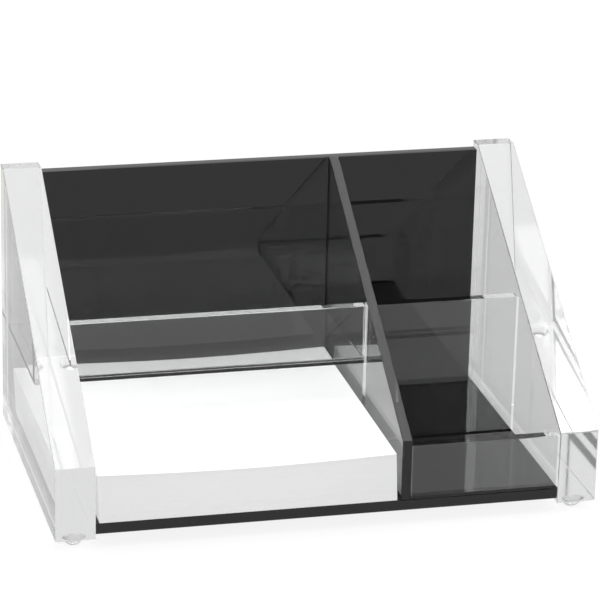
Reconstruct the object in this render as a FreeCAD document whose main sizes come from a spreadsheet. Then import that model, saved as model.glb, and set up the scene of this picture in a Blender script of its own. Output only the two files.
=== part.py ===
import FreeCAD, Part

# Desk holder for a stack of memo sheets, with a small shelf tray above the sheets, a pen bay
# and a paper clip bay beside them. It is built like a piece of acrylic cabinet work: two thick
# clear side panels with sloping fronts carry a black base, a black back and the thin clear
# walls between them, all butt jointed and solvent welded.
#
# Lengths are millimetres. The origin is on the surface that the holder stands on, under the
# middle of its outline. +X is to the right, +Y to the back and +Z up.

import math
import os
import Sketcher
from FreeCAD import Vector

# Driving dimensions, each one free to change by itself
DRIVING_SIZES = {
    "panel_thickness": 12.0,
    "panel_height": 84.2,
    "panel_front_height": 22.8,
    "panel_top_flat": 5.2,
    "panel_bevel": 0.5,
    "sheet_bevel": 0.3,
    "base_raise": 1.6,
    "base_thickness": 3.4,
    "back_thickness": 3.0,
    "back_setback": 1.0,
    "back_drop": 1.8,
    "memo_sheet_width": 90.0,
    "memo_sheet_depth": 90.0,
    "memo_side_gap": 1.0,
    "memo_rear_gap": 6.0,
    "stack_height": 15.0,
    "stack_lean": 0.7,
    "memo_headroom": 11.3,
    "divider_thickness": 3.0,
    "divider_front_height": 18.9,
    "divider_top_flat": 1.6,
    "pen_bay_width": 46.0,
    "front_bay_depth": 45.8,
    "tray_floor_thickness": 1.2,
    "tray_lip_height": 17.5,
    "tray_lip_thickness": 3.5,
    "partition_thickness": 3.5,
    "clip_lip_height": 17.1,
    "clip_lip_thickness": 3.5,
    "foot_diameter": 7.0,
    "foot_flat_diameter": 3.0,
    "foot_height": 2.7,
    "foot_inset": 5.0,
}

# Sizes and stations that follow from them. Stations along X count from the outer face of the
# left side panel, along Y from the front, and along Z from the underside of the side panels.
FOLLOWING_SIZES = {
    "memo_bay_width": "memo_sheet_width + 2 * memo_side_gap",
    "divider_left": "panel_thickness + memo_bay_width",
    "pen_bay_left": "divider_left + divider_thickness",
    "right_panel_left": "pen_bay_left + pen_bay_width",
    "inner_width": "right_panel_left - panel_thickness",
    "overall_width": "right_panel_left + panel_thickness",
    "back_front": "memo_sheet_depth + memo_rear_gap",
    "base_depth": "back_front + back_thickness",
    "panel_depth": "base_depth + back_setback",
    "base_top": "base_raise + base_thickness",
    "back_top": "panel_height - back_drop",
    "tray_underside": "base_top + stack_height + memo_headroom",
    "tray_top": "tray_underside + tray_floor_thickness",
    "cross_top": "tray_top + tray_lip_height",
}

SHEET = "Sizes"
PARTS_FOLDER = "parts"
FULL_TURN = 360.0
ZERO = "0"
CLOSENESS_SHARE = 0.01

doc = FreeCAD.newDocument("memo_pad_holder")
sizes = doc.addObject("Spreadsheet::Sheet", SHEET)


def fill_sheet():
    rows = [(name, str(value)) for name, value in DRIVING_SIZES.items()]
    rows += [(name, "=" + formula) for name, formula in FOLLOWING_SIZES.items()]
    for row, (name, content) in enumerate(rows, start=1):
        sizes.set(f"A{row}", name)
        sizes.set(f"B{row}", content)
        sizes.setAlias(f"B{row}", name)
    doc.recompute()


def bound(formula):
    """The formula with each size in it written as a cell of the sheet."""
    words = formula.replace("(", " ( ").replace(")", " ) ").split()
    known = {**DRIVING_SIZES, **FOLLOWING_SIZES}
    return " ".join(f"{SHEET}.{word}" if word in known else word for word in words)


def value(formula):
    """The length that a formula gives now, for the first guess of a sketch and for the checks."""
    result = sizes.evalExpression(bound(formula))
    return float(getattr(result, "Value", result))


def origin_plane(body, role):
    return next(feature for feature in body.Origin.OriginFeatures if feature.Role == role)


def new_sketch(body, role):
    sketch = body.newObject("Sketcher::SketchObject", f"{body.Name}_sketch")
    sketch.AttachmentSupport = [(origin_plane(body, role), "")]
    sketch.MapMode = "FlatFace"
    return sketch


def pin_point(sketch, edge, end, across, up):
    """Ties one end of a sketch edge to its two coordinates, which are formulas."""
    for kind, axis, formula in (("DistanceX", -2, across), ("DistanceY", -1, up)):
        if formula == ZERO:
            sketch.addConstraint(Sketcher.Constraint("PointOnObject", edge, end, axis))
            continue
        index = sketch.addConstraint(Sketcher.Constraint(kind, -1, 1, edge, end, value(formula)))
        sketch.setExpression(f"Constraints[{index}]", bound(formula))


def draw_outline(sketch, corners):
    """A closed outline of straight edges through corners given as pairs of formulas."""
    points = [Vector(value(across), value(up), 0) for across, up in corners]
    edges = len(points)
    for edge in range(edges):
        sketch.addGeometry(Part.LineSegment(points[edge], points[(edge + 1) % edges]), False)
    for edge in range(edges):
        sketch.addConstraint(Sketcher.Constraint("Coincident", edge, 2, (edge + 1) % edges, 1))
    for edge, (across, up) in enumerate(corners):
        pin_point(sketch, edge, 1, across, up)


def place(body, left, front, bottom):
    """Moves a body from its own corner to its stations in the holder."""
    body.setExpression("Placement.Base.x", bound(f"{left} - overall_width / 2"))
    body.setExpression("Placement.Base.y", bound(f"{front} - panel_depth / 2"))
    body.setExpression("Placement.Base.z", bound(f"{bottom} + foot_height"))


def new_body(name):
    body = doc.addObject("PartDesign::Body", name)
    body.Label = name
    return body


def pad(body, sketch, length):
    feature = body.newObject("PartDesign::Pad", f"{body.Name}_pad")
    feature.Profile = sketch
    feature.setExpression("Length", bound(length))
    doc.recompute()
    return feature


def profile_part(name, corners, thickness, stations):
    """A flat part whose outline is drawn from the side, across Y and up Z, and padded along X."""
    body = new_body(name)
    sketch = new_sketch(body, "YZ_Plane")
    draw_outline(sketch, corners)
    feature = pad(body, sketch, thickness)
    place(body, *stations)
    return body, feature


def board(name, width, depth, height, stations):
    """A plain rectangular board."""
    corners = [(ZERO, ZERO), (depth, ZERO), (depth, height), (ZERO, height)]
    return profile_part(name, corners, width, stations)


def bevel_edges(body, feature, size, wanted=None):
    """Small polished bevels, on every edge or on those whose two ends are both wanted."""
    bevel = body.newObject("PartDesign::Chamfer", f"{body.Name}_bevel")
    if wanted is None:
        bevel.Base = (feature, [])
        bevel.UseAllEdges = True
    else:
        names = []
        for index, edge in enumerate(feature.Shape.Edges, start=1):
            if all(wanted(vertex.Point) for vertex in edge.Vertexes):
                names.append(f"Edge{index}")
        bevel.Base = (feature, names)
    bevel.setExpression("Size", bound(size))
    doc.recompute()


def near(length, formula):
    return math.isclose(length, value(formula), abs_tol=CLOSENESS_SHARE * value("sheet_bevel"))


def at_front(point):
    return near(point.y, ZERO)


def at_top(height):
    return lambda point: near(point.z, height)


# The two thick side panels share one outline: a short upright front, a long slope and a small
# level top. All their edges are bevelled and polished.
def side_panel(name, left):
    outline = [
        (ZERO, ZERO),
        ("panel_depth", ZERO),
        ("panel_depth", "panel_height"),
        ("panel_depth - panel_top_flat", "panel_height"),
        (ZERO, "panel_front_height"),
    ]
    body, feature = profile_part(name, outline, "panel_thickness", (left, ZERO, ZERO))
    bevel_edges(body, feature, "panel_bevel")
    return body


# The black base lies between the side panels, a little above their undersides, with its front
# edge flush with theirs.
def base_panel():
    stations = ("panel_thickness", ZERO, "base_raise")
    body, feature = board("base_panel", "inner_width", "base_depth", "base_thickness", stations)
    bevel_edges(body, feature, "sheet_bevel", at_front)
    return body


# The black back stands on the rear of the base and ends just below the tops of the side panels.
def back_panel():
    stations = ("panel_thickness", "back_front", "base_top")
    height = "back_top - base_top"
    body, feature = board("back_panel", "inner_width", "back_thickness", height, stations)
    bevel_edges(body, feature, "sheet_bevel", at_top(height))
    return body


# The divider between the memo bay and the pen bay repeats the slope of the side panels, from
# the top of the back down to a short upright front.
def bay_divider():
    height = "back_top - base_top"
    outline = [
        (ZERO, ZERO),
        ("back_front", ZERO),
        ("back_front", height),
        ("back_front - divider_top_flat", height),
        (ZERO, "divider_front_height"),
    ]
    stations = ("divider_left", ZERO, "base_top")
    body, feature = profile_part("bay_divider", outline, "divider_thickness", stations)

    def on_open_edge(point):
        front_edge = at_front(point)
        slope_top = near(point.y, "back_front - divider_top_flat") and near(point.z, height)
        return front_edge or slope_top

    bevel_edges(body, feature, "sheet_bevel", on_open_edge)
    return body


# The shelf tray bridges the rear half of the memo bay above the sheets: a floor that runs to
# the back, and a lip that stands on the floor's front edge.
def tray_floor():
    stations = ("panel_thickness", "front_bay_depth", "tray_underside")
    depth = "back_front - front_bay_depth"
    body, feature = board("tray_floor", "memo_bay_width", depth, "tray_floor_thickness", stations)
    underside = at_top(ZERO)
    bevel_edges(body, feature, "sheet_bevel", lambda point: at_front(point) and underside(point))
    return body


def tray_front_lip():
    stations = ("panel_thickness", "front_bay_depth", "tray_top")
    height = "tray_lip_height"
    body, feature = board("tray_front_lip", "memo_bay_width", "tray_lip_thickness", height, stations)
    bevel_edges(body, feature, "sheet_bevel", at_top(height))
    return body


# The partition in the pen bay is level with the tray lip and stands on the base. It keeps the
# pens at the back and the paper clips at the front.
def pen_bay_partition():
    stations = ("pen_bay_left", "front_bay_depth", "base_top")
    height = "cross_top - base_top"
    body, feature = board("pen_bay_partition", "pen_bay_width", "partition_thickness", height, stations)
    bevel_edges(body, feature, "sheet_bevel", at_top(height))
    return body


def clip_bay_lip():
    stations = ("pen_bay_left", ZERO, "base_top")
    height = "clip_lip_height"
    body, feature = board("clip_bay_lip", "pen_bay_width", "clip_lip_thickness", height, stations)
    bevel_edges(body, feature, "sheet_bevel", at_top(height))
    return body


# A soft clear bumper: a low dome, flattened where it bears, stuck under a side panel.
def foot(name, centre_across, centre_back):
    body = new_body(name)
    sketch = new_sketch(body, "XZ_Plane")
    rim = value("foot_diameter / 2")
    flat = value("foot_flat_diameter / 2")
    height = value("foot_height")
    centre_height = (rim ** 2 + height ** 2 - flat ** 2) / (2 * height)
    circle = Part.Circle(Vector(0, centre_height, 0), Vector(0, 0, 1), math.hypot(flat, centre_height))
    start = math.atan2(-centre_height, flat)
    end = math.atan2(height - centre_height, rim)
    sketch.addGeometry(Part.LineSegment(Vector(0, 0, 0), Vector(flat, 0, 0)), False)
    sketch.addGeometry(Part.ArcOfCircle(circle, start, end), False)
    sketch.addGeometry(Part.LineSegment(Vector(rim, height, 0), Vector(0, height, 0)), False)
    sketch.addGeometry(Part.LineSegment(Vector(0, height, 0), Vector(0, 0, 0)), False)
    bottom, dome, top, axis = range(4)
    sketch.addConstraint(Sketcher.Constraint("Coincident", bottom, 2, dome, 1))
    sketch.addConstraint(Sketcher.Constraint("Coincident", dome, 2, top, 1))
    sketch.addConstraint(Sketcher.Constraint("Coincident", top, 2, axis, 1))
    sketch.addConstraint(Sketcher.Constraint("Coincident", axis, 2, bottom, 1))
    sketch.addConstraint(Sketcher.Constraint("PointOnObject", dome, 3, -2))
    pin_point(sketch, bottom, 1, ZERO, ZERO)
    pin_point(sketch, bottom, 2, "foot_flat_diameter / 2", ZERO)
    pin_point(sketch, top, 1, "foot_diameter / 2", "foot_height")
    pin_point(sketch, top, 2, ZERO, "foot_height")
    turn = body.newObject("PartDesign::Revolution", f"{name}_turn")
    turn.Profile = sketch
    turn.ReferenceAxis = (sketch, ["V_Axis"])
    turn.Angle = FULL_TURN
    doc.recompute()
    place(body, centre_across, centre_back, "0 - foot_height")
    return body


def feet():
    across = {"left": "panel_thickness / 2", "right": "right_panel_left + panel_thickness / 2"}
    back = {"front": "foot_inset", "rear": "panel_depth - foot_inset"}
    return [foot(f"foot_{row}_{side}", across[side], back[row]) for row in back for side in across]


# The loose memo sheets lie on the base, flush with its front. The stack has slipped a little,
# so its top is nearer to the left side panel than its bottom.
def memo_paper_stack():
    body = new_body("memo_paper_stack")
    sketch = new_sketch(body, "XZ_Plane")
    outline = [
        ("stack_lean", ZERO),
        ("stack_lean + memo_sheet_width", ZERO),
        ("memo_sheet_width", "stack_height"),
        (ZERO, "stack_height"),
    ]
    draw_outline(sketch, outline)
    pad(body, sketch, "memo_sheet_depth")
    # The pad grows from the sketch plane towards the front, so the plane stands at the rear.
    left = "panel_thickness + memo_side_gap - stack_lean"
    place(body, left, "memo_sheet_depth", "base_top")
    return body


def broken_objects():
    doc.recompute()
    return [item.Name for item in doc.Objects if "Invalid" in item.State or "Error" in item.State]


def export(bodies):
    """Writes the parts only when every one of them is a sound single solid."""
    broken = broken_objects()
    if broken:
        raise RuntimeError(f"these objects failed to recompute: {broken}")
    for body in bodies:
        shape = body.Shape
        if shape.isNull() or not shape.isValid() or len(shape.Solids) != 1:
            raise RuntimeError(f"{body.Label} isn't one valid solid")
    os.makedirs(PARTS_FOLDER, exist_ok=True)
    for body in bodies:
        body.Shape.exportStep(f"{PARTS_FOLDER}/{body.Label}.step")
        box = body.Shape.BoundBox
        print(f"{body.Label:20s} volume {body.Shape.Volume:10.1f}"
              f"  X {box.XMin:7.2f} {box.XMax:7.2f}"
              f"  Y {box.YMin:7.2f} {box.YMax:7.2f}  Z {box.ZMin:6.2f} {box.ZMax:6.2f}")


fill_sheet()
holder = [
    side_panel("left_side_panel", ZERO),
    side_panel("right_side_panel", "right_panel_left"),
    base_panel(),
    back_panel(),
    bay_divider(),
    tray_floor(),
    tray_front_lip(),
    pen_bay_partition(),
    clip_bay_lip(),
    *feet(),
    memo_paper_stack(),
]
export(holder)
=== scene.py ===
import math
import random

import bmesh
import bpy
from mathutils import Matrix, Vector


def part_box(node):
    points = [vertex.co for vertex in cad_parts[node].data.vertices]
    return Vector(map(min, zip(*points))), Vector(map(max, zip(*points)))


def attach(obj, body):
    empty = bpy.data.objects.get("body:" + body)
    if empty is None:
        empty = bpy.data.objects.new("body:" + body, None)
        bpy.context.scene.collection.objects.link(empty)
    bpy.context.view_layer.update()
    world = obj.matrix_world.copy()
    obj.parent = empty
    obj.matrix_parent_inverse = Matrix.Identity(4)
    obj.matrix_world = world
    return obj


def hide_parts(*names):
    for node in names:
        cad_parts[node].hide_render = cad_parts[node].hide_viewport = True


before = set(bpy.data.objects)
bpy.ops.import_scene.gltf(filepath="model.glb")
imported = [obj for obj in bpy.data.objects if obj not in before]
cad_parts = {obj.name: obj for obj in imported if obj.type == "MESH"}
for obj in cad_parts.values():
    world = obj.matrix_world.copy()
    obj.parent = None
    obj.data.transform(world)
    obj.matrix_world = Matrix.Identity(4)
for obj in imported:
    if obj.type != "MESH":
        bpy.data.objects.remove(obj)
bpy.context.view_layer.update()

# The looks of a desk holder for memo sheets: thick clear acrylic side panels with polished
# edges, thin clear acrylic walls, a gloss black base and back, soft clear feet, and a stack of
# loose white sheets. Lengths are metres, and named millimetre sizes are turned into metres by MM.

MM = 0.001

# Joints. A clear wall that is welded to its neighbour is open at that end and meets an opening
# in the neighbour's side, so that light passes. Pieces that overlap at a weld do so by WELD, and
# the openings stay that far off the black pieces. Pieces that only butt against each other are
# HAIR_GAP apart. So are clear faces glued to black, and those of the thin walls are painted
# black on their inside, because such a joint reflects nothing.
WELD = 0.02 * MM
HAIR_GAP = 0.01 * MM

# Outline of the side panels and the divider, as in the construction
PANEL_FRONT_HEIGHT = 22.8 * MM
PANEL_TOP_FLAT = 5.2 * MM
DIVIDER_FRONT_HEIGHT = 18.9 * MM
DIVIDER_TOP_FLAT = 1.6 * MM

# Sides of an outline that starts at the lower front corner and runs to the rear
BOTTOM_SIDE = 0
REAR_SIDE = 1

# Polished edges: how wide they are rounded, and by which share of that at the rear of the side
# panels, where all edges within REAR_REACH of the rear face count
PANEL_EDGE = 0.35 * MM
WALL_EDGE = 0.18 * MM
WALL_END_EDGE = 0.35 * MM
REAR_EDGE_SHARE = 0.5
REAR_REACH = 1.0 * MM
EDGE_STEPS = 5

# Clear acrylic: tints, haze as a range of roughness, and the waviness of cast sheet
ACRYLIC_IOR = 1.49
POLISHED_TINT = 0.98
CUT_EDGE_TINT = 0.89
TINT_RED_LOSS = 0.005
POLISHED_HAZE = (0.0, 0.012)
CUT_EDGE_HAZE = (0.05, 0.1)
CLEAR_HAZE_SIZE = 9.0 * MM
CLEAR_WAVE_SIZE = 28.0 * MM
PANEL_WAVE_DEPTH = 0.006 * MM
WALL_WAVE_DEPTH = 0.003 * MM

# Black acrylic
BLACK_TONES = (0.002, 0.004)
BLACK_PIGMENT_SIZE = 0.6 * MM
BLACK_HAZE = (0.012, 0.03)
BLACK_HAZE_SIZE = 7.0 * MM
BLACK_WAVE_SIZE = 60.0 * MM
BLACK_WAVE_DEPTH = 0.0008 * MM
WELD_ON_BLACK_TONE = 0.003

# Rubber of the feet
RUBBER_IOR = 1.48
RUBBER_COLOUR = (0.995, 0.995, 0.99, 1.0)
RUBBER_GRAIN = 0.8 * MM
RUBBER_HAZE = (0.12, 0.22)
# The grey, less clear rubber of the feet's lowest rim, a painted contact shadow
PAINTED_SHADOW_TONE = 0.16
PAINTED_SHADOW_CLEARNESS = 0.6
PAINTED_SHADOW_HAZE = (0.4, 0.6)

# Paper
PAPER_TONES = (0.88, 0.91)
PAPER_FIBRE_SIZE = 0.5 * MM
PAPER_FIBRE_STRETCH = (1.0, 2.2, 1.0)
PAPER_ROUGHNESS = (0.82, 0.95)
PAPER_SPECULAR = 0.3
PAPER_RELIEF = 0.01 * MM

# The middle part of a noise texture's values, where most of them lie
NOISE_LOW = 0.3
NOISE_HIGH = 0.7

# Loose sheets. The uppermost ones stand forward by TOP_STEP, and the stack sags by SHEET_SAG.
SHEET_THICKNESS = 0.1 * MM
SHEET_GAP = 0.002 * MM
SHEET_SLIP = 0.03 * MM
SHEET_TRIM = 0.07 * MM
TOP_SHEETS = 2
TOP_STEP = 0.2 * MM
SHEET_TURN = math.radians(0.04)
SHEET_SAG = 1.0 * MM
SHEET_SAG_STEPS = 16
STACK_LEAN = 0.7 * MM
SHEET_WIDTH = 90.0 * MM
SEED = 7

# Feet
FOOT_FLAT_RADIUS = 1.5 * MM
# How high the lowest rim of the feet is greyed, as a painted contact shadow
FOOT_PAINTED_SHADOW_HEIGHT = 0.7 * MM
FOOT_RINGS = 12
FOOT_SIDES = 64

# Camera, fitted to the photograph's edges
CAMERA_PLACE = Vector((-222.004, -886.595, 386.285)) * MM
CAMERA_YAW = 0.247158
CAMERA_PITCH = 0.348113
CAMERA_ROLL = 0.023807
CAMERA_LENS = 191.118
SENSOR_WIDTH = 36.0
CAMERA_CLIP = (0.01, 50.0)

# Studio: brightness of the world, tone of the floor, and how far the floor is whitened where
# the camera sees it and where the clear pieces show it
WORLD_HORIZON = 0.8
WORLD_ZENITH = 0.84
FLOOR_TONE = 0.5
FLOOR_ROUGHNESS = 0.9
FLOOR_WHITE = 1.15
FLOOR_WHITE_SEEN = 0.75
FLOOR_WHITE_IN_GLASS = 0.38
FLOOR_SIZE = 12.0

# Each softbox: place, edge length and power
SOFTBOXES = {
    "softbox_overhead": (Vector((-0.2, -0.2, 1.15)), 0.65, 1.2),
    "softbox_wide": (Vector((0.2, 0.05, 1.2)), 1.0, 6.4),
    "softbox_front": (Vector((-0.3, -1.6, 0.7)), 0.8, 4.5),
}

# Light bounces
CLEAR_BOUNCES = 24
GLOSSY_BOUNCES = 12
DIFFUSE_BOUNCES = 4


def grey(tone):
    return (tone, tone, tone, 1.0)


def new_shader(name):
    """A material with one Principled shader, and its node tree."""
    material = bpy.data.materials.new(name)
    material.use_nodes = True
    tree = material.node_tree
    shader = tree.nodes["Principled BSDF"]
    return material, tree, shader


def object_noise(tree, size, detail=2.0, stretch=(1.0, 1.0, 1.0)):
    """Noise fixed to the object, with features of about the given size in metres."""
    place = tree.nodes.new("ShaderNodeTexCoord")
    mapping = tree.nodes.new("ShaderNodeMapping")
    mapping.inputs["Scale"].default_value = stretch
    noise = tree.nodes.new("ShaderNodeTexNoise")
    noise.inputs["Scale"].default_value = 1.0 / size
    noise.inputs["Detail"].default_value = detail
    tree.links.new(place.outputs["Object"], mapping.inputs["Vector"])
    tree.links.new(mapping.outputs["Vector"], noise.inputs["Vector"])
    return noise.outputs["Fac"]


def add_roughness(tree, shader, source, limits):
    """Lets the roughness follow a noise value between its two limits."""
    ramp = tree.nodes.new("ShaderNodeMapRange")
    ramp.inputs["From Min"].default_value = NOISE_LOW
    ramp.inputs["From Max"].default_value = NOISE_HIGH
    ramp.inputs["To Min"].default_value = limits[0]
    ramp.inputs["To Max"].default_value = limits[1]
    tree.links.new(source, ramp.inputs["Value"])
    tree.links.new(ramp.outputs["Result"], shader.inputs["Roughness"])


def add_tones(tree, shader, source, tones, places=(0.0, 1.0)):
    """Lets the colour follow a noise value from a dark to a light tone."""
    ramp = tree.nodes.new("ShaderNodeValToRGB")
    for element, tone, place in zip(ramp.color_ramp.elements, tones, places):
        element.position = place
        element.color = grey(tone)
    tree.links.new(source, ramp.inputs["Fac"])
    tree.links.new(ramp.outputs["Color"], shader.inputs["Base Color"])


def add_bump(tree, shader, source, depth):
    """Lets the surface rise and fall with a noise value."""
    bump = tree.nodes.new("ShaderNodeBump")
    bump.inputs["Strength"].default_value = 1.0
    bump.inputs["Distance"].default_value = depth
    tree.links.new(source, bump.inputs["Height"])
    tree.links.new(bump.outputs["Normal"], shader.inputs["Normal"])


def clear_acrylic(name, tint, wave_depth, haze):
    """Clear cast acrylic: smooth, with the faint waviness of cast sheet and a little haze."""
    material, tree, shader = new_shader(name)
    shader.inputs["Base Color"].default_value = (tint - TINT_RED_LOSS, tint, tint, 1.0)
    shader.inputs["IOR"].default_value = ACRYLIC_IOR
    shader.inputs["Transmission Weight"].default_value = 1.0
    add_roughness(tree, shader, object_noise(tree, CLEAR_HAZE_SIZE, detail=3.0), haze)
    add_bump(tree, shader, object_noise(tree, CLEAR_WAVE_SIZE), wave_depth)
    return material


def black_acrylic():
    """Opaque black acrylic with a mirror gloss and faint cast waviness."""
    material, tree, shader = new_shader("black_acrylic")
    shader.inputs["IOR"].default_value = ACRYLIC_IOR
    add_tones(tree, shader, object_noise(tree, BLACK_PIGMENT_SIZE, detail=4.0), BLACK_TONES)
    add_roughness(tree, shader, object_noise(tree, BLACK_HAZE_SIZE, detail=4.0), BLACK_HAZE)
    add_bump(tree, shader, object_noise(tree, BLACK_WAVE_SIZE), BLACK_WAVE_DEPTH)
    return material


def rubber(name, colour, clearness, haze):
    """Soft polyurethane, clear, or greyed and less clear as a painted contact shadow."""
    material, tree, shader = new_shader(name)
    shader.inputs["Base Color"].default_value = colour
    shader.inputs["IOR"].default_value = RUBBER_IOR
    shader.inputs["Transmission Weight"].default_value = clearness
    add_roughness(tree, shader, object_noise(tree, RUBBER_GRAIN, detail=3.0), haze)
    return material


def weld_on_black():
    """The inside of a clear face that is glued to black acrylic."""
    material, _, shader = new_shader("weld_on_black")
    shader.inputs["Base Color"].default_value = grey(WELD_ON_BLACK_TONE)
    shader.inputs["Roughness"].default_value = 1.0
    shader.inputs["Specular IOR Level"].default_value = 0.0
    return material


def memo_paper():
    """Uncoated white writing paper with fine fibres."""
    material, tree, shader = new_shader("memo_paper")
    shader.inputs["Specular IOR Level"].default_value = PAPER_SPECULAR
    fibre = object_noise(tree, PAPER_FIBRE_SIZE, detail=6.0, stretch=PAPER_FIBRE_STRETCH)
    add_tones(tree, shader, fibre, PAPER_TONES, (NOISE_LOW, NOISE_HIGH))
    add_roughness(tree, shader, fibre, PAPER_ROUGHNESS)
    add_bump(tree, shader, fibre, PAPER_RELIEF)
    return material


def add_object(name, builder, materials, body, node):
    """Links a finished bmesh as a piece that stands for a node of the construction."""
    mesh = bpy.data.meshes.new(name)
    builder.normal_update()
    builder.to_mesh(mesh)
    builder.free()
    for material in materials:
        mesh.materials.append(material)
    piece = bpy.data.objects.new(name, mesh)
    bpy.context.scene.collection.objects.link(piece)
    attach(piece, body)
    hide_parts(node)
    return piece


def round_edges(piece, width):
    """Rounds the edges by their weights, and keeps the faces flat."""
    for face in piece.data.polygons:
        face.use_smooth = True
    bevel = piece.modifiers.new("polished_edges", "BEVEL")
    bevel.width = width
    bevel.segments = EDGE_STEPS
    bevel.limit_method = "WEIGHT"
    bevel.harden_normals = True


def prism(outline, left, right, second=(), sharp=False, ends=("left", "right"), long_share=1.0):
    """A bmesh whose outline, in (Y, Z), runs from left to right along X.

    The outline's sides counted in second get the second material, and sharp edges where sharp
    is set. An end that isn't named in ends stays open, and its edges aren't rounded. The edges
    along X are rounded by the given share of what the others are."""
    builder = bmesh.new()
    near = [builder.verts.new((left, across, up)) for across, up in outline]
    far = [builder.verts.new((right, across, up)) for across, up in outline]
    if "left" in ends:
        builder.faces.new(near)
    if "right" in ends:
        builder.faces.new(list(reversed(far)))
    count = len(outline)
    for index in range(count):
        following = (index + 1) % count
        side = builder.faces.new((near[index], far[index], far[following], near[following]))
        side.material_index = 1 if index in second else 0
    weights = builder.edges.layers.float.new("bevel_weight_edge")
    for edge in builder.edges:
        start, finish = (vert.co for vert in edge.verts)
        edge[weights] = long_share if start.x != finish.x else float(len(edge.link_faces) == 2)
        if sharp and any(face.material_index for face in edge.link_faces):
            edge[weights] = 0.0
            edge.smooth = False
    bmesh.ops.recalc_face_normals(builder, faces=builder.faces)
    return builder


def open_at_welds(builder, side, sections):
    """Opens the left or right end where walls are welded to it, so that light passes through."""
    pick = min if side == "left" else max
    end = pick(builder.faces, key=lambda face: face.calc_center_median().x)
    place = end.calc_center_median().x
    rim = list(end.edges)
    bmesh.ops.delete(builder, geom=[end], context="FACES_ONLY")
    for section in sections:
        ring = [builder.verts.new((place, across, up)) for across, up in section]
        for start, finish in zip(ring, ring[1:] + ring[:1]):
            rim.append(builder.edges.new((start, finish)))
    bmesh.ops.triangle_fill(builder, edges=rim, use_beauty=True)
    bmesh.ops.recalc_face_normals(builder, faces=builder.faces)


def tray_section():
    """Where the tray floor and its lip together meet their neighbours, in (Y, Z)."""
    floor_low, floor_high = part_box("tray_floor")
    lip_low, lip_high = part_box("tray_front_lip")
    rear = floor_high.y - WELD
    return [
        (floor_low.y, floor_low.z),
        (rear, floor_low.z),
        (rear, floor_high.z),
        (lip_high.y, floor_high.z),
        (lip_high.y, lip_high.z),
        (lip_low.y, lip_high.z),
    ]


def wall_section(node, front_inset=0.0):
    """Where a wall that stands on the base meets its neighbour, in (Y, Z).

    front_inset keeps the opening off the rounded front edge of the neighbour."""
    low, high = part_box(node)
    front = low.y + front_inset
    bottom = low.z + WELD
    return [(front, bottom), (high.y, bottom), (high.y, high.z), (front, high.z)]


def sloped_outline(front, back, bottom, top, front_height, top_flat):
    """The outline that the side panels and the divider share, with its long front slope."""
    return [
        (front, bottom),
        (back, bottom),
        (back, top),
        (back - top_flat, top),
        (front, bottom + front_height),
    ]


def side_panel(side, materials):
    """A side panel, whose narrow sides all show the cut edge.

    The right one overlaps the black pieces by WELD, and the left one stays HAIR_GAP off them."""
    node = f"{side}_side_panel"
    low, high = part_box(node)
    outline = sloped_outline(low.y, high.y, low.z, high.z, PANEL_FRONT_HEIGHT, PANEL_TOP_FLAT)
    left = low.x - (WELD if side == "right" else 0.0)
    right = high.x - (HAIR_GAP if side == "left" else 0.0)
    builder = prism(outline, left, right, range(len(outline)))
    weights = builder.edges.layers.float["bevel_weight_edge"]
    for edge in builder.edges:
        if all(vert.co.y > high.y - REAR_REACH for vert in edge.verts):
            edge[weights] = REAR_EDGE_SHARE
    if side == "left":
        open_at_welds(builder, "right", [tray_section()])
    else:
        clip_lip = wall_section("clip_bay_lip", PANEL_EDGE + WELD)
        open_at_welds(builder, "left", [wall_section("pen_bay_partition"), clip_lip])
    name = f"clear_{side}_panel"
    piece = add_object(name, builder, materials, "holder", node)
    round_edges(piece, PANEL_EDGE)


def divider(materials):
    """The sloping wall between the bays, glued to the black base and back."""
    node = "bay_divider"
    low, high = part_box(node)
    bottom = low.z + HAIR_GAP
    back = high.y - HAIR_GAP
    front_height = DIVIDER_FRONT_HEIGHT - HAIR_GAP
    top_flat = DIVIDER_TOP_FLAT - HAIR_GAP
    outline = sloped_outline(low.y, back, bottom, high.z, front_height, top_flat)
    builder = prism(outline, low.x, high.x, (BOTTOM_SIDE, REAR_SIDE), sharp=True)
    open_at_welds(builder, "right", [wall_section("pen_bay_partition")])
    piece = add_object("clear_divider", builder, materials, "holder", node)
    round_edges(piece, WALL_EDGE)


def wall(name, node, materials, ends, on_black=None, reach_down=0):
    """A thin clear wall that is open at its ends, where it is welded to its neighbours.

    The ends named in ends are closed and only butt against the neighbour. on_black says which
    side of its outline is glued to black, and reach_down how far it enters the clear piece
    below it, counted in welds."""
    low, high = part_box(node)
    in_memo_bay = high.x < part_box("bay_divider")[0].x + WELD
    left = low.x - HAIR_GAP if in_memo_bay else low.x
    right = high.x if in_memo_bay else high.x - WELD
    if "left" in ends:
        left += HAIR_GAP
    if "right" in ends:
        right -= HAIR_GAP
    back = high.y
    bottom = low.z - reach_down * WELD
    if on_black == BOTTOM_SIDE:
        bottom = low.z + HAIR_GAP
    if on_black == REAR_SIDE:
        back = high.y - HAIR_GAP
    outline = [(low.y, bottom), (back, bottom), (back, high.z), (low.y, high.z)]
    glued = () if on_black is None else (on_black,)
    long_share = WALL_EDGE / WALL_END_EDGE
    builder = prism(outline, left, right, glued, sharp=True, ends=ends, long_share=long_share)
    piece = add_object(name, builder, materials, "holder", node)
    round_edges(piece, WALL_END_EDGE)


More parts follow.
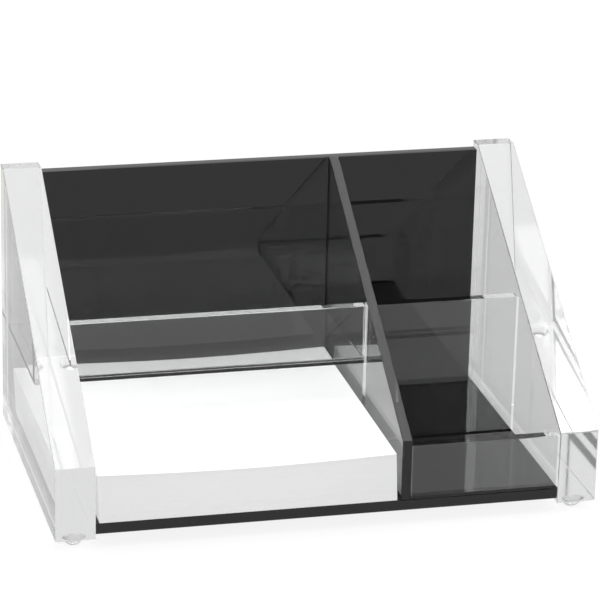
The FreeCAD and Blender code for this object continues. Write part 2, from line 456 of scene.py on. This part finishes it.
def foot(node, materials):
    """A low dome, turned about its axis and flattened where it bears, with its lowest rim greyed as
    a painted contact shadow.
    """
    low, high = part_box(node)
    centre = (low + high) / 2
    rim = (high.x - low.x) / 2
    height = high.z - low.z
    centre_height = (rim ** 2 + height ** 2 - FOOT_FLAT_RADIUS ** 2) / (2 * height)
    dome_radius = math.hypot(FOOT_FLAT_RADIUS, centre_height)
    start = math.atan2(-centre_height, FOOT_FLAT_RADIUS)
    end = math.atan2(height - centre_height, rim)
    profile = [(FOOT_FLAT_RADIUS, low.z + WELD)]
    for ring in range(1, FOOT_RINGS + 1):
        angle = start + (end - start) * ring / FOOT_RINGS
        radius = dome_radius * math.cos(angle)
        profile.append((radius, low.z + centre_height + dome_radius * math.sin(angle)))
    profile.append((rim, high.z + WELD))
    builder = bmesh.new()
    rings = []
    for radius, up in profile:
        ring = []
        for side in range(FOOT_SIDES):
            angle = 2 * math.pi * side / FOOT_SIDES
            across = centre.x + radius * math.cos(angle)
            along = centre.y + radius * math.sin(angle)
            ring.append(builder.verts.new((across, along, up)))
        rings.append(ring)
    for lower, upper in zip(rings, rings[1:]):
        for side in range(FOOT_SIDES):
            following = (side + 1) % FOOT_SIDES
            builder.faces.new((lower[side], lower[following], upper[following], upper[side]))
    builder.faces.new(list(reversed(rings[0])))
    builder.faces.new(rings[-1])
    for face in builder.faces:
        face.smooth = len(face.verts) == 4
        # The faces of the lowest rim get the grey rubber, a painted contact shadow
        in_painted_shadow = face.smooth and face.calc_center_median().z < low.z + FOOT_PAINTED_SHADOW_HEIGHT
        face.material_index = int(in_painted_shadow)
    bmesh.ops.recalc_face_normals(builder, faces=builder.faces)
    add_object(node.replace("foot", "bumper"), builder, materials, "holder", node)


def add_leaf(builder, width, depth, index, count, height):
    """One sheet about its own centre, with its height above the lowest sheet's underside.

    The sheets lie close in the middle of their width and looser at the ends, so that the
    stack sags towards the middle."""
    thickness = (height - SHEET_SAG) / count - SHEET_GAP
    sections = []
    for step in range(SHEET_SAG_STEPS + 1):
        share = step / SHEET_SAG_STEPS
        across = (share - 0.5) * width
        bottom = index * (height - SHEET_SAG * math.sin(math.pi * share)) / count + SHEET_GAP / 2
        top = bottom + thickness
        front, back = -depth / 2, depth / 2
        corners = [(front, bottom), (back, bottom), (back, top), (front, top)]
        sections.append([builder.verts.new((across, along, up)) for along, up in corners])
    builder.faces.new(sections[0])
    builder.faces.new(list(reversed(sections[-1])))
    for near, far in zip(sections, sections[1:]):
        for corner in range(len(near)):
            following = (corner + 1) % len(near)
            builder.faces.new((near[corner], far[corner], far[following], near[following]))
    return [vert for section in sections for vert in section]


def memo_sheets(material):
    """Each loose sheet is its own thin leaf, slipped and turned a little on the one below.

    The uppermost ones stand forward of the rest."""
    low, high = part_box("memo_paper_stack")
    height = high.z - low.z
    count = round(height / (SHEET_THICKNESS + SHEET_GAP))
    back = high.y - SHEET_TRIM
    dice = random.Random(SEED)
    builder = bmesh.new()
    for index in range(count):
        share = index / (count - 1)
        front = low.y + (SHEET_TRIM if index >= count - TOP_SHEETS else TOP_STEP)
        slip = dice.uniform(-SHEET_SLIP, SHEET_SLIP)
        centre_x = low.x + STACK_LEAN * (1 - share) + SHEET_WIDTH / 2 + slip
        centre_y = (front + back) / 2 + dice.uniform(-SHEET_SLIP, SHEET_SLIP)
        leaf = add_leaf(builder, SHEET_WIDTH - 2 * SHEET_TRIM, back - front, index, count, height)
        turn = Matrix.Rotation(dice.uniform(-SHEET_TURN, SHEET_TURN), 4, "Z")
        place = Matrix.Translation((centre_x, centre_y, low.z))
        bmesh.ops.transform(builder, matrix=place @ turn, verts=leaf)
    bmesh.ops.recalc_face_normals(builder, faces=builder.faces)
    add_object("memo_sheets", builder, [material], "memo_stack", "memo_paper_stack")


def paint_black_panels(material):
    """Gives the black pieces of the construction, whose shapes are right, their material."""
    for node in ("base_panel", "back_panel"):
        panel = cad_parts[node]
        panel.data.materials.clear()
        panel.data.materials.append(material)


def make_camera():
    """Looks along the yaw, to the right of +Y, and the pitch, below level, and then rolls."""
    yaw, pitch, roll = CAMERA_YAW, CAMERA_PITCH, CAMERA_ROLL
    level_forward = Vector((math.sin(yaw), math.cos(yaw), 0.0))
    forward = math.cos(pitch) * level_forward - math.sin(pitch) * Vector((0.0, 0.0, 1.0))
    level_right = Vector((math.cos(yaw), -math.sin(yaw), 0.0))
    level_up = level_right.cross(forward)
    right = math.cos(roll) * level_right + math.sin(roll) * level_up
    up = math.cos(roll) * level_up - math.sin(roll) * level_right
    turn = Matrix((right, up, -forward)).transposed().to_4x4()
    data = bpy.data.cameras.new("photo_camera")
    data.sensor_width = SENSOR_WIDTH
    data.lens = CAMERA_LENS
    data.clip_start, data.clip_end = CAMERA_CLIP
    camera = bpy.data.objects.new("photo_camera", data)
    camera.matrix_world = Matrix.Translation(CAMERA_PLACE) @ turn
    bpy.context.scene.collection.objects.link(camera)
    bpy.context.scene.camera = camera


def make_world():
    """A white studio: light grey at the horizon and brighter overhead."""
    world = bpy.data.worlds.new("studio")
    world.use_nodes = True
    bpy.context.scene.world = world
    tree = world.node_tree
    background = tree.nodes["Background"]
    background.inputs["Color"].default_value = grey(1.0)
    direction = tree.nodes.new("ShaderNodeTexCoord")
    parts = tree.nodes.new("ShaderNodeSeparateXYZ")
    level = tree.nodes.new("ShaderNodeMapRange")
    level.interpolation_type = "SMOOTHSTEP"
    level.inputs["To Min"].default_value = WORLD_HORIZON
    level.inputs["To Max"].default_value = WORLD_ZENITH
    tree.links.new(direction.outputs["Generated"], parts.inputs["Vector"])
    tree.links.new(parts.outputs["Z"], level.inputs["Value"])
    tree.links.new(level.outputs["Result"], background.inputs["Strength"])


def make_floor():
    """A white floor whose shadow is softened where it is seen, directly or in the clear pieces."""
    bpy.ops.mesh.primitive_plane_add(size=FLOOR_SIZE, location=(0.0, 0.0, 0.0))
    floor = bpy.context.object
    floor.name = "floor"
    material, tree, shader = new_shader("studio_floor")
    shader.inputs["Base Color"].default_value = grey(FLOOR_TONE)
    shader.inputs["Roughness"].default_value = FLOOR_ROUGHNESS
    shader.inputs["Specular IOR Level"].default_value = 0.0
    path = tree.nodes.new("ShaderNodeLightPath")
    in_glass = tree.nodes.new("ShaderNodeMath")
    in_glass.operation = "MAXIMUM"
    tree.links.new(path.outputs["Is Glossy Ray"], in_glass.inputs[0])
    tree.links.new(path.outputs["Is Transmission Ray"], in_glass.inputs[1])
    share = tree.nodes.new("ShaderNodeMath")
    share.operation = "MULTIPLY"
    share.inputs[1].default_value = FLOOR_WHITE_IN_GLASS
    tree.links.new(in_glass.outputs["Value"], share.inputs[0])
    white = tree.nodes.new("ShaderNodeMath")
    white.operation = "MULTIPLY_ADD"
    white.inputs[1].default_value = FLOOR_WHITE_SEEN
    tree.links.new(path.outputs["Is Camera Ray"], white.inputs[0])
    tree.links.new(share.outputs["Value"], white.inputs[2])
    glow = tree.nodes.new("ShaderNodeEmission")
    glow.inputs["Strength"].default_value = FLOOR_WHITE
    total = tree.nodes.new("ShaderNodeMixShader")
    tree.links.new(white.outputs["Value"], total.inputs["Fac"])
    tree.links.new(shader.outputs["BSDF"], total.inputs[1])
    tree.links.new(glow.outputs["Emission"], total.inputs[2])
    output = tree.nodes["Material Output"]
    tree.links.new(total.outputs["Shader"], output.inputs["Surface"])
    floor.data.materials.append(material)


def make_softboxes():
    """Square lamps that all face the object."""
    for name, (place, size, power) in SOFTBOXES.items():
        data = bpy.data.lights.new(name, "AREA")
        data.energy = power
        data.size = size
        lamp = bpy.data.objects.new(name, data)
        lamp.location = place
        lamp.rotation_euler = (-place).to_track_quat("-Z", "Y").to_euler()
        bpy.context.scene.collection.objects.link(lamp)


def light_paths():
    """Enough bounces for light to cross the clear panels and come back unblurred."""
    cycles = bpy.context.scene.cycles
    cycles.max_bounces = CLEAR_BOUNCES
    cycles.transmission_bounces = CLEAR_BOUNCES
    cycles.glossy_bounces = GLOSSY_BOUNCES
    cycles.diffuse_bounces = DIFFUSE_BOUNCES
    cycles.blur_glossy = 0.0


bpy.context.scene.view_settings.view_transform = "Standard"
thick_clear = clear_acrylic("clear_acrylic_panels", POLISHED_TINT, PANEL_WAVE_DEPTH, POLISHED_HAZE)
cut_edges = clear_acrylic("clear_acrylic_cut_edges", CUT_EDGE_TINT, PANEL_WAVE_DEPTH, CUT_EDGE_HAZE)
thin_clear = clear_acrylic("clear_acrylic_walls", POLISHED_TINT, WALL_WAVE_DEPTH, POLISHED_HAZE)
panels = [thick_clear, cut_edges]
walls = [thin_clear, weld_on_black()]
feet = [
    rubber("clear_bumper", RUBBER_COLOUR, 1.0, RUBBER_HAZE),
    # Grey rubber for the lowest rim of the feet, a painted contact shadow
    rubber("rubber_painted_shadow", grey(PAINTED_SHADOW_TONE), PAINTED_SHADOW_CLEARNESS, PAINTED_SHADOW_HAZE),
]
side_panel("left", panels)
side_panel("right", panels)
divider(walls)
wall("clear_tray_floor", "tray_floor", walls, ("right",), on_black=REAR_SIDE)
wall("clear_tray_lip", "tray_front_lip", walls, ("right",), reach_down=1)
wall("clear_partition", "pen_bay_partition", walls, (), on_black=BOTTOM_SIDE)
wall("clear_clip_lip", "clip_bay_lip", walls, ("left",), on_black=BOTTOM_SIDE)
for row in ("front", "rear"):
    for side in ("left", "right"):
        foot(f"foot_{row}_{side}", feet)
memo_sheets(memo_paper())
paint_black_panels(black_acrylic())
make_camera()
make_world()
make_floor()
make_softboxes()
light_paths()
